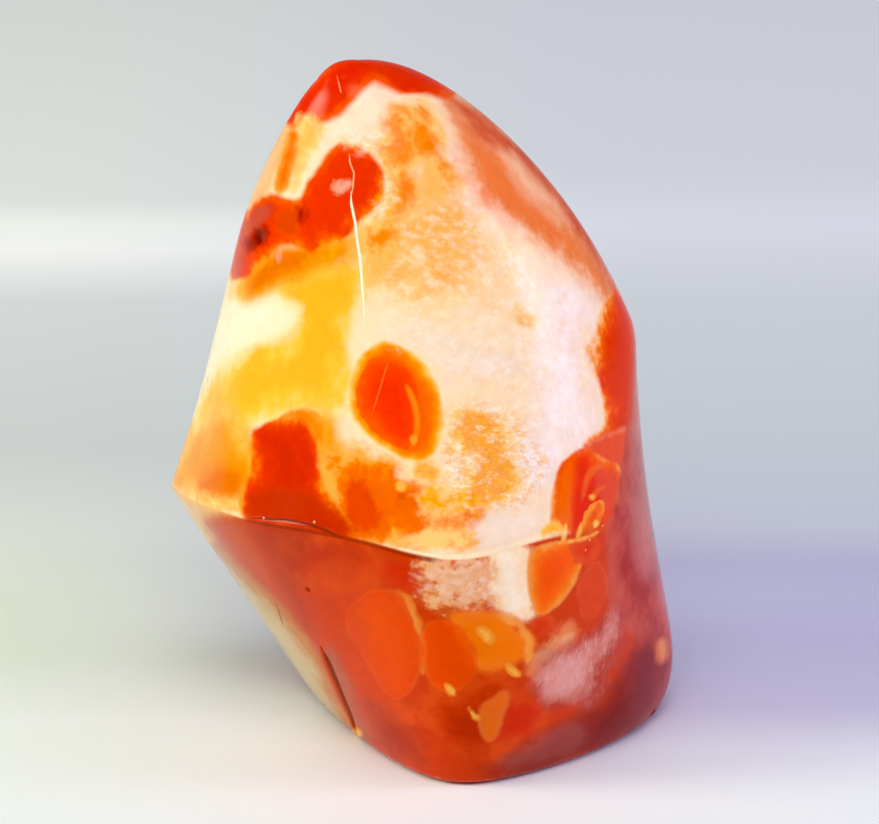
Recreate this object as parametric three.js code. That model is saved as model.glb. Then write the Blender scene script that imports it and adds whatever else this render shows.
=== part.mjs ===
// Carnelian flame: one polished stone, ground to broad bowed faces that lean in to a tip,
// standing on a flat ground base. Millimetres, +Z up, the viewer's side is -Y.
// The stone is what lies inside an upper shell and a lower shell of ground faces and above the base.
// The two shells meet in the crisp ridge that runs round the stone like a belt.
import * as THREE from 'three';
import { mergeVertices } from 'three/addons/utils/BufferGeometryUtils.js';

// The heart is the point that every face is measured from
const heartHeight = 60;
const heartFromMiddleX = 0.16;
const heartFromMiddleY = 5.38;

// A face looks along its heading (degrees round the stone from the viewer, towards +X) and its lift
// (degrees above level), at its reach from the heart (mm). It bows across and up (1/1000 mm) about the
// middle of its bow, given as mm across and up the face, and it may twist (1/1000 mm).
const upperBroad = [
  { name: 'leaning face', heading: -1.5, lift: 20, reach: 44, across: 10, up: -1.1, middle: [5, 7] },
  { name: 'right flank', heading: 60, lift: 41, reach: 60.2, across: 2.4, up: 4.6, middle: [0, 43] },
  { name: 'back left', heading: -146, lift: 15, reach: 40, across: 2.5, up: 1.2, middle: [0, 0] },
  { name: 'back', heading: 160, lift: 13, reach: 36, across: 3.5, up: 1.5, middle: [0, 0] },
];
const upperNarrow = [
  { name: 'left strip', heading: -73, lift: 14, reach: 46.6, across: 1.4, up: -1.9, middle: [0, 1] },
  { name: 'left crown', heading: -66, lift: 39, reach: 79, across: 3, up: 1, middle: [0, 60] },
  { name: 'tip', heading: 21.5, lift: 75, reach: 97.4, across: 2.1, up: 2, middle: [0, 0] },
];
const lowerBroad = [
  { name: 'lower face', heading: -31.5, lift: -19, reach: 43.5, across: 0.9, up: -0.2, middle: [7, -12],
    twist: 4.8 },
  { name: 'lower left', heading: -67.5, lift: -29.5, reach: 46.5, across: 0, up: 0, middle: [0, 0] },
  { name: 'nose', heading: 29.5, lift: -3, reach: 50, across: 3.6, up: 2.5, middle: [2.5, 2] },
  { name: 'right wall', heading: 90, lift: 9, reach: 46.3, across: 7.6, up: -1.6, middle: [5, -18.5] },
  { name: 'right foot', heading: 60, lift: -43, reach: 77.6, across: 3.5, up: 1.6, middle: [0, 0] },
  { name: 'back left foot', heading: -132, lift: -28, reach: 61, across: 2, up: 1, middle: [0, -30] },
  { name: 'back foot', heading: 172, lift: -5, reach: 37, across: 3, up: 0.6, middle: [0, -15] },
];
const bowUnit = 0.001;

// How softly faces run into each other (mm): the broad ones in a wide roll, the narrow ones in a soft edge
const rollBlend = 5;
const edgeBlend = 1.5;

// The surface is found along rays from the heart, spread over a ball squashed to the stone's proportions
const rayDetail = 21;
const ballShape = new THREE.Vector3(0.62, 0.44, 1);
const longestRay = 140;
const raySteps = 40;
const edgeSteps = 14;

const heart = new THREE.Vector3(heartFromMiddleX, heartFromMiddleY, heartHeight);

// Puts each face's directions beside its sizes: outwards, across it and up it
function ground(face) {
  const heading = THREE.MathUtils.degToRad(face.heading);
  const lift = THREE.MathUtils.degToRad(face.lift);
  return {
    ...face,
    out: new THREE.Vector3(
      Math.sin(heading) * Math.cos(lift), -Math.cos(heading) * Math.cos(lift), Math.sin(lift)),
    along: new THREE.Vector3(Math.cos(heading), Math.sin(heading), 0),
    upward: new THREE.Vector3(
      -Math.sin(heading) * Math.sin(lift), Math.cos(heading) * Math.sin(lift), Math.cos(lift)),
  };
}

// How far a point, measured from the heart, stands proud of a face (mm)
function proudOf(face, point) {
  const across = point.dot(face.along);
  const up = point.dot(face.upward);
  const bow = face.across * (across - face.middle[0]) ** 2
    + face.up * (up - face.middle[1]) ** 2
    + (face.twist ?? 0) * across * up;
  return point.dot(face.out) - face.reach + bow * bowUnit;
}

// The largest of some values, rounded over where they are alike
function softMax(values, blend) {
  const most = Math.max(...values);
  const sum = values.reduce((total, value) => total + Math.exp((value - most) / blend), 0);
  return most + blend * Math.log(sum);
}

const upperShell = { broad: upperBroad.map(ground), narrow: upperNarrow.map(ground) };
const lowerShell = { broad: lowerBroad.map(ground), narrow: [] };

function proudOfShell(shell, point) {
  const rolled = softMax(shell.broad.map((face) => proudOf(face, point)), rollBlend);
  return softMax([rolled, ...shell.narrow.map((face) => proudOf(face, point))], edgeBlend);
}

// The three walls that bound the stone: the upper shell, the lower shell and the base
const walls = [
  (point) => proudOfShell(upperShell, point),
  (point) => proudOfShell(lowerShell, point),
  (point) => -point.z - heartHeight,
];

// Where a ray from the heart meets each wall (mm)
function reachOfWalls(direction) {
  return walls.map((wall) => {
    let inside = 0;
    let outside = longestRay;
    for (let step = 0; step < raySteps; step += 1) {
      const middle = (inside + outside) / 2;
      if (wall(direction.clone().multiplyScalar(middle)) < 0) {
        inside = middle;
      } else {
        outside = middle;
      }
    }
    return (inside + outside) / 2;
  });
}

// The wall that a ray meets first, and the point where it does
function surfaceAlong(direction) {
  const reaches = reachOfWalls(direction);
  const reach = Math.min(...reaches);
  return { wall: reaches.indexOf(reach), direction, point: direction.clone().multiplyScalar(reach) };
}

// Halves an edge of the mesh between two walls until it finds where they meet
function meetingPoint(from, to) {
  let near = from;
  let far = to;
  for (let step = 0; step < edgeSteps; step += 1) {
    const direction = near.direction.clone().add(far.direction).normalize();
    const middle = surfaceAlong(direction);
    if (middle.wall === from.wall) {
      near = middle;
    } else {
      far = middle;
    }
  }
  return near.point.clone().add(far.point).multiplyScalar(0.5);
}

// Slides the nearer end of each edge that crosses a ridge onto the ridge, nearest ones first
function sharpenRidges(spots, triangles) {
  const crossings = [];
  for (let corner = 0; corner < triangles.length; corner += 3) {
    [[0, 1], [1, 2], [2, 0]].forEach(([start, end]) => {
      const from = triangles[corner + start];
      const to = triangles[corner + end];
      if (from < to && spots[from].wall !== spots[to].wall) {
        const point = meetingPoint(spots[from], spots[to]);
        const toStart = point.distanceTo(spots[from].point);
        const toEnd = point.distanceTo(spots[to].point);
        crossings.push(
          { point, near: toStart < toEnd ? from : to, from, to, gap: Math.min(toStart, toEnd) });
      }
    });
  }
  crossings.sort((one, other) => one.gap - other.gap);
  crossings.forEach(({ point, near, from, to }) => {
    if (!spots[from].onRidge && !spots[to].onRidge) {
      spots[near].point = point;
      spots[near].onRidge = true;
    }
  });
}

function makeStone() {
  const geometry = new THREE.IcosahedronGeometry(1, rayDetail);
  geometry.deleteAttribute('normal');
  geometry.deleteAttribute('uv');
  const ball = mergeVertices(geometry, 1e-6);
  const place = ball.getAttribute('position');
  const spots = Array.from({ length: place.count }, (_, index) => surfaceAlong(
    new THREE.Vector3().fromBufferAttribute(place, index).multiply(ballShape).normalize()));
  sharpenRidges(spots, ball.index.array);
  spots.forEach((spot, index) => {
    const { x, y, z } = spot.point.add(heart);
    place.setXYZ(index, x, y, Math.max(z, 0));
  });
  ball.computeVertexNormals();
  return ball;
}

const carnelian = new THREE.MeshStandardMaterial({ color: 0xe2622e, roughness: 0.15, metalness: 0 });
const flame = new THREE.Mesh(makeStone(), carnelian);
flame.name = 'flame_stone';

const part = new THREE.Group();
part.add(flame);

export default part;
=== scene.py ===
import math
import bmesh
import bpy
import numpy as np
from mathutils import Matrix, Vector, noise


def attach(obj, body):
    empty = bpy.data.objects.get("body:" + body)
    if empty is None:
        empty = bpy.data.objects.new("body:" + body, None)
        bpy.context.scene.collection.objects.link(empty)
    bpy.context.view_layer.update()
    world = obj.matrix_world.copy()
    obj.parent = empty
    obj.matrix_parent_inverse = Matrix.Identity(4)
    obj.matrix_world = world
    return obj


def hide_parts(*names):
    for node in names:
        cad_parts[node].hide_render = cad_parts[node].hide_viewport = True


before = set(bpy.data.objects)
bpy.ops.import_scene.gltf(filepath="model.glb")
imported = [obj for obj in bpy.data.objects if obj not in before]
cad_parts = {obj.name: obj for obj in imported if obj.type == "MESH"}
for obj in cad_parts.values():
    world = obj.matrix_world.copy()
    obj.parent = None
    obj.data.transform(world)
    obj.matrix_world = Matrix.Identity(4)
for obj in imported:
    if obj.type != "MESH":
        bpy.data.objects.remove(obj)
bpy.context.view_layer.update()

mm = 0.001
photoWide, photoHigh = 879, 824

print("camera")
cameraSetup = {
    "target": (3.56, 5.38, 70.8),   # mm, in the middle of the stone
    "distance": 800,                # mm
    "elevation": 20,                # degrees
    "pixelsPerMm": 4.72,            # of the photo, at the target
    "sensor": 36,                   # mm
    "nearest": 10,                  # mm, what is closer than this isn't seen
}


def lookFrom(azimuth):
    # right, up and forward of a view round the stone, and the point it is seen from, in mm
    turn, rise = math.radians(azimuth), math.radians(cameraSetup["elevation"])
    back = np.array([math.sin(turn) * math.cos(rise), -math.cos(turn) * math.cos(rise), math.sin(rise)])
    right = np.array([math.cos(turn), math.sin(turn), 0.0])
    eye = np.array(cameraSetup["target"]) + back * cameraSetup["distance"]
    return right, np.cross(back, right), -back, eye


def makeCamera():
    data = bpy.data.cameras.new("camera")
    camera = bpy.data.objects.new("camera", data)
    bpy.context.scene.collection.objects.link(camera)
    bpy.context.scene.camera = camera
    right, up, forward, eye = lookFrom(0)
    camera.location = Vector(eye * mm)
    camera.rotation_euler = Vector(forward).to_track_quat("-Z", "Y").to_euler()
    data.sensor_width = cameraSetup["sensor"]
    focalPixels = cameraSetup["pixelsPerMm"] * cameraSetup["distance"]
    data.lens = focalPixels * cameraSetup["sensor"] / photoWide
    data.clip_start = cameraSetup["nearest"] * mm


makeCamera()

print("form of the stone")
# each ground face: heading round from the front and lift above level (degrees), reach from the heart (mm),
# bow across and up it (1/1000 mm), the middle of that bow across and up (mm), and twist (1/1000 mm)
stoneForm = {
    "heart": (0.16, 5.38, 60.0),
    "rollBlend": 5.0,       # mm, how softly the broad faces run together
    "edgeBlend": 1.5,       # mm, the same for the narrow strip
    "tipBlend": 0.4,        # mm, and for the faces at the tip
    "arris": 1.1,           # mm, width over which the belt ridge is eased
    "footRound": 2.4,       # mm, the same round the base
    "ripple": 0.05,         # mm, unevenness that hand polishing leaves
    "rippleLength": 16.0,   # mm
    "upperBroad": {
        "leaningFace": (-1.5, 20, 44, 10, -1.1, 5, 7, 0),
        "rightFlank": (60, 41, 60.2, 2.4, 4.6, 0, 43, 0),
        "backLeft": (-146, 15, 40, 2.5, 1.2, 0, 0, 0),
        "back": (160, 13, 36, 3.5, 1.5, 0, 0, 0),
    },
    "upperStrip": {
        "leftStrip": (-73, 14, 46.6, 1.4, -1.9, 0, 1, 0),
    },
    "upperTip": {
        "leftCrown": (-66, 39, 79, 3, 1, 0, 60, 0),
        "tip": (21.5, 75, 97.4, 2.1, 2, -12, 0, 0),
    },
    "lowerBroad": {
        "lowerFace": (-31.5, -19, 43.5, 0.9, -0.2, 7, -12, 4.8),
        "lowerLeft": (-67.5, -29.5, 46.5, 0, 0, 0, 0, 0),
        "nose": (29.5, -3, 50, 3.6, 2.5, 2.5, 2, 0),
        "rightWall": (90, 9, 46.3, 7.6, -1.6, 5, -18.5, 0),
        "rightFoot": (60, -43, 77.6, 3.5, 1.6, 0, 0, 0),
        "backLeftFoot": (-132, -28, 61, 2, 1, 0, -30, 0),
        "backFoot": (172, -5, 37, 3, 0.6, 0, -15, 0),
    },
}
heart = np.array(stoneForm["heart"])
# how the surface is found, in mm
search = {
    "longestRay": 140.0,    # from the heart
    "halvings": 26,         # of a ray from the heart
    "halfDepth": 110,       # each side of the target, along a line of sight
    "slices": 89,           # of that depth
    "sightHalvings": 20,    # of a line of sight
    "slopeStep": 0.05,      # over which the slope is measured
}


def proudOfFace(points, face):
    # how far each point, in mm from the heart, stands proud of a face
    heading, lift = math.radians(face[0]), math.radians(face[1])
    reach, bowAcross, bowUp, middleAcross, middleUp, twist = face[2:]
    out = (math.sin(heading) * math.cos(lift), -math.cos(heading) * math.cos(lift), math.sin(lift))
    upward = (-math.sin(heading) * math.sin(lift), math.cos(heading) * math.sin(lift), math.cos(lift))
    across = points @ np.array((math.cos(heading), math.sin(heading), 0.0))
    up = points @ np.array(upward)
    bow = bowAcross * (across - middleAcross) ** 2 + bowUp * (up - middleUp) ** 2 + twist * across * up
    return points @ np.array(out) - reach + bow / 1000


def softMax(values, blend):
    # the largest of some values, rounded over where they are alike
    values = np.stack(values)
    most = values.max(axis=0)
    return most + blend * np.log(np.exp((values - most) / blend).sum(axis=0))


def roundedMax(one, other, width):
    # the larger of two values, eased where they differ by less than the width
    near = np.maximum(width - np.abs(one - other), 0)
    return np.maximum(one, other) + near ** 2 / (4 * width)


def proudOfShells(points):
    # points in mm from the heart; how far each stands proud of the upper and of the lower shell
    def proudOf(group):
        return [proudOfFace(points, face) for face in stoneForm[group].values()]

    upper = softMax(proudOf("upperBroad"), stoneForm["rollBlend"])
    upper = softMax([upper, *proudOf("upperStrip")], stoneForm["edgeBlend"])
    upper = softMax([upper, *proudOf("upperTip")], stoneForm["tipBlend"])
    lower = softMax(proudOf("lowerBroad"), stoneForm["rollBlend"])
    return upper, lower


def proudOfStone(points):
    upper, lower = proudOfShells(points)
    body = roundedMax(upper, lower, stoneForm["arris"])
    return roundedMax(body, -points[:, 2] - heart[2], stoneForm["footRound"])


def closeIn(start, rays, inside, outside, halvings):
    # halves the stretch of each ray between a reach inside the stone and one outside it
    for halving in range(halvings):
        middle = (inside + outside) / 2
        isIn = proudOfStone(start + rays * middle[:, None]) < 0
        inside = np.where(isIn, middle, inside)
        outside = np.where(isIn, outside, middle)
    return inside, outside


def castFromHeart(directions):
    # the surface point, in mm from the heart, along each direction
    outside = np.full(len(directions), search["longestRay"])
    inside, outside = closeIn(0, directions, np.zeros(len(directions)), outside, search["halvings"])
    return directions * ((inside + outside) / 2)[:, None]


def surfaceNormals(points):
    step = search["slopeStep"]
    slopes = [proudOfStone(points + axis * step) - proudOfStone(points - axis * step) for axis in np.eye(3)]
    normals = np.stack(slopes, axis=1)
    return normals / np.linalg.norm(normals, axis=1)[:, None]


def findOnStone(pixels, azimuth=0):
    # where pixels of the photo, or of the same view from another side, meet the stone; mm from the heart
    right, up, forward, eye = lookFrom(azimuth)
    focal = cameraSetup["pixelsPerMm"] * cameraSetup["distance"]
    pixels = np.array(pixels, dtype=float)
    sideways = (pixels[:, 0] - photoWide / 2) / focal
    upwards = (photoHigh / 2 - pixels[:, 1]) / focal
    rays = forward + sideways[:, None] * right + upwards[:, None] * up
    rays /= np.linalg.norm(rays, axis=1)[:, None]
    start = eye - heart
    halfDepth = search["halfDepth"]
    reaches = np.linspace(-halfDepth, halfDepth, search["slices"]) + cameraSetup["distance"]
    proud = np.stack([proudOfStone(start + rays * reach) for reach in reaches], axis=1)
    deepest = reaches[proud.argmin(axis=1)]     # a pixel just off the stone gives the nearest point
    outside = np.full(len(rays), reaches[0])
    inside, outside = closeIn(start, rays, deepest, outside, search["sightHalvings"])
    return start + rays * inside[:, None]


print("carved and broken places")
# paths are in the photo's pixels; widths and depths in mm
cuts = {
    "groove": {"path": [(321, 647), (329, 666), (339, 690), (348, 712), (357, 735)],
               "width": 1.2, "depth": 0.7},
    "fissure": {"path": [(246, 518), (265, 519), (285, 520), (303, 523), (320, 528), (334, 534), (346, 539)],
                "width": 0.4, "depth": 0.15},
    "healedCrack": {"path": [(349, 151), (350, 163), (354, 173), (353, 186), (351, 198)],
                    "width": 0.22, "depth": 0.04},
    "whiteCrack": {"path": [(351, 190), (351, 203), (355, 222), (357, 240), (360, 260), (362, 285),
                            (365, 330)],
                   "width": 0.34, "depth": 0.06},
    "edgeNick": {"path": [(208, 373), (206, 383)], "width": 0.4, "depth": 0.3},
    "lowerScar": {"path": [(275, 600), (279, 612), (283, 626)], "width": 0.5, "depth": 0.12},
    "tipScratch": {"path": [(336, 72), (339, 84), (342, 96)], "width": 0.2, "depth": 0.05},
    "eyeLine": {"path": [(389, 358), (381, 385), (371, 418)], "width": 0.28, "depth": 0.04},
}
# towards each end a cut thins over this share of its length, to this share of its width
cutEnds = {"share": 0.2, "width": 0.15}
# round hollows, and a corner that stands proud: pixel, radius and depth in mm, and the colour it takes
pits = {
    "eyePit": (258, 237, 1.9, 0.4, "darkPits"),
    "smallPit": (308, 590, 0.6, 0.5, "darkPits"),
    "ridgeChipLeft": (263, 518, 0.35, 0.15, "paleChips"),
    "ridgeChipMiddle": (314, 522, 0.35, 0.15, "paleChips"),
    "ridgeChipRight": (590, 540, 0.3, 0.15, "paleChips"),
    "underChipRight": (586, 550, 0.3, 0.15, "paleChips"),
    "arrisChip": (603, 526, 0.3, 0.15, "paleChips"),
    "footChip": (651, 716, 1.5, 1.0, "paleChips"),
    "footNick": (438, 779, 0.8, 0.3, "paleChips"),
    "tipCorner": (335, 62, 4.2, -0.6, None),        # left proud where the tip's two ground faces meet
}
pitRim = {"reach": 1.25, "steepness": 0.8}      # in radii, where the slope begins, and how it bends
footBand = 1.5      # mm above the base, where nothing ripples or is cut below the base


def nearPath(points, path):
    # distance from a line through the path's points, and how far along it, from 0 to 1
    nearest = np.full(len(points), 1e6)
    along = np.zeros(len(points))
    legs = len(path) - 1
    for leg in range(legs):
        start, run = path[leg], path[leg + 1] - path[leg]
        share = np.clip((points - start) @ run / (run @ run), 0, 1)
        gap = np.linalg.norm(points - start - share[:, None] * run, axis=1)
        closer = gap < nearest
        nearest = np.where(closer, gap, nearest)
        along = np.where(closer, (leg + share) / legs, along)
    return nearest, along


cutPaths = {name: findOnStone(cut["path"]) for name, cut in cuts.items()}
pitPlaces = dict(zip(pits, findOnStone([pit[:2] for pit in pits.values()])))


def cutShare(points, name):
    # 1 in the middle of a cut, 0 outside it
    gap, along = nearPath(points, cutPaths[name])
    taper = np.clip(np.minimum(along, 1 - along) / cutEnds["share"], cutEnds["width"], 1)
    return np.exp(-(gap / (cuts[name]["width"] * taper)) ** 2)


def pitShare(points, name):
    # 1 in the middle of a pit, 0 outside it
    gap = np.linalg.norm(points - pitPlaces[name], axis=1) / pits[name][2]
    return np.clip(pitRim["reach"] - gap, 0, 1) ** pitRim["steepness"]


def carve(points):
    # cuts and pits sink the surface, and the ripple moves it a little
    depth = np.zeros(len(points))
    for name, cut in cuts.items():
        depth += cutShare(points, name) * cut["depth"]
    for name, pit in pits.items():
        depth += pitShare(points, name) * pit[3]
    length = stoneForm["rippleLength"]
    ripple = np.array([noise.noise(Vector(point) / length) for point in points]) * stoneForm["ripple"]
    isFoot = points[:, 2] < footBand - heart[2]
    depth = np.where(isFoot, np.minimum(depth, points[:, 2] + heart[2]), depth)
    ripple = np.where(isFoot, 0, ripple)
    return points - surfaceNormals(points) * (depth + ripple)[:, None]


print("mesh of the stone")
meshSetup = {
    "cells": (114, 72, 150),        # across, deep and up
    "stretch": (0.62, 0.46, 1.0),   # the stone's proportions, so that the cells come out even
    "fineBands": (1.4, 0.7),        # mm each side of a cut that is divided once, and again
    "ridgeBand": 0.5,               # mm, divided once each side of the belt ridge,
    "ridgeFrom": 3,                 # from this height up
    "rimBand": 1.6,                 # mm, divided once up and in from the rim of the base
}


def rayGrid(cells):
    # the skin of a block of cells: its points from -1 to 1 each way, and its squares
    numbers, places, squares = {}, [], []

    def numberOf(corner):
        if corner not in numbers:
            numbers[corner] = len(places)
            places.append(corner)
        return numbers[corner]

    for axis in range(3):
        one, two = (axis + 1) % 3, (axis + 2) % 3
        for side in (0, cells[axis]):
            for i in range(cells[one]):
                for j in range(cells[two]):
                    ring = [(i, j), (i + 1, j), (i + 1, j + 1), (i, j + 1)]
                    if side == 0:
                        ring.reverse()
                    square = []
                    for a, b in ring:
                        corner = [0, 0, 0]
                        corner[axis], corner[one], corner[two] = side, a, b
                        square.append(numberOf(tuple(corner)))
                    squares.append(square)
    places = np.array(places) / np.array(cells) * 2 - 1
    return np.tan(places * math.pi / 4), squares


def isFine(points, band):
    # near a cut, a pit, the belt ridge or the rim of the base
    fine = np.zeros(len(points), dtype=bool)
    for name in cuts:
        gap, along = nearPath(points, cutPaths[name])
        fine |= gap < band + cuts[name]["width"]
    for name, pit in pits.items():
        fine |= np.linalg.norm(points - pitPlaces[name], axis=1) < band + pit[2]
    if band == meshSetup["fineBands"][0]:
        upper, lower = proudOfShells(points)
        height = points[:, 2] + heart[2]
        fine |= (np.abs(upper - lower) < meshSetup["ridgeBand"]) & (height > meshSetup["ridgeFrom"])
        rim = meshSetup["rimBand"]
        fine |= (height < rim) & (np.maximum(upper, lower) > -rim)
    return fine


def makeStone():
    places, squares = rayGrid(meshSetup["cells"])
    directions = places * np.array(meshSetup["stretch"])
    directions /= np.linalg.norm(directions, axis=1)[:, None]
    points = castFromHeart(directions)
    mesh = bpy.data.meshes.new("flameStone")
    mesh.from_pydata(points.tolist(), [], squares)
    shape = bmesh.new()
    shape.from_mesh(mesh)
    for band in meshSetup["fineBands"]:
        shape.verts.index_update()
        fine = isFine(points, band)
        edges = [edge for edge in shape.edges if fine[edge.verts[0].index] and fine[edge.verts[1].index]]
        bmesh.ops.subdivide_edges(shape, edges=edges, cuts=1, use_grid_fill=True)
        points = np.array([vert.co for vert in shape.verts])
        points = castFromHeart(points / np.linalg.norm(points, axis=1)[:, None])
    bmesh.ops.triangulate(shape, faces=[face for face in shape.faces if len(face.verts) > 4])
    shape.to_mesh(mesh)
    shape.free()
    carved = (carve(points) + heart) * mm
    mesh.vertices.foreach_set("co", carved.ravel())
    mesh.shade_smooth()
    mesh.update()
    stone = bpy.data.objects.new("flameStone", mesh)
    bpy.context.scene.collection.objects.link(stone)
    triangles = sum(len(face.vertices) - 2 for face in mesh.polygons)
    print("   ", len(mesh.vertices), "points,", triangles, "triangles")
    return stone, points


stone, stonePoints = makeStone()

print("places of the markings")


def oval(x, y, wide, high, lean=0):
    # an outline of twelve points round a pixel; half sizes in pixels, lean in degrees clockwise
    turn = math.radians(lean)
    found = []
    for step in range(12):
        angle = math.tau * step / 12
        across, up = wide * math.cos(angle), high * math.sin(angle)
        found.append((x + across * math.cos(turn) - up * math.sin(turn),
                      y + across * math.sin(turn) + up * math.cos(turn)))
    return found


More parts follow.
